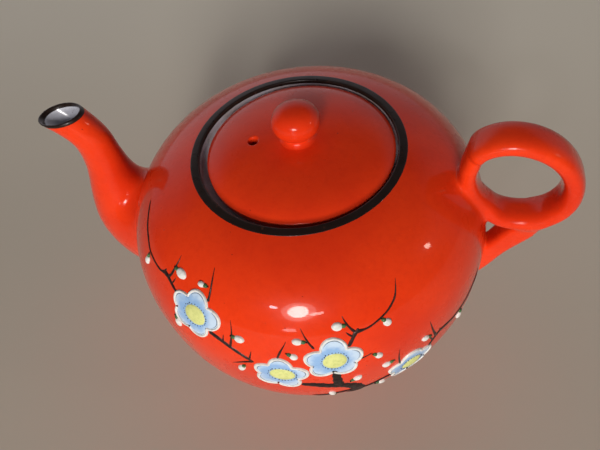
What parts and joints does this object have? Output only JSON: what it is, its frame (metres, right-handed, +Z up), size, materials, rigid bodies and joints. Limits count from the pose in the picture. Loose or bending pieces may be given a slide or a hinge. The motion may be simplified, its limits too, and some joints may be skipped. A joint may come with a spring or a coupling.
{
  "type": "teapot",
  "caption": "Round glazed ceramic teapot with an upright spout, a finger-loop handle braced to its belly, and a drop-in lid with a ball knob.",
  "frame": {"origin": "centre of the whole object's footprint, on the surface it stands on", "axes": "+X towards the handle, -X towards the spout, +Z up"},
  "size_m": [0.211, 0.15, 0.1266],
  "materials": {
    "red_glaze": "glossy vermilion glaze over stoneware, with raised enamel flowers",
    "black_glaze": "satin black glaze",
    "bare_clay": "unglazed matte clay"
  },
  "bodies": {
    "pot": {"pot_body": "red_glaze", "foot_ring": "bare_clay", "mouth_ring": "black_glaze", "spout": "red_glaze", "handle_loop": "red_glaze", "handle_brace": "red_glaze"},
    "lid": {"lid_plate": "red_glaze", "lid_flange": "bare_clay", "lid_knob": "red_glaze"}
  },
  "joints": [
    {"name": "lid_lift", "type": "slide", "parent": "pot", "child": "lid", "axis": [0, 0, 1], "range_m": [0, 0.06]}
  ]
}
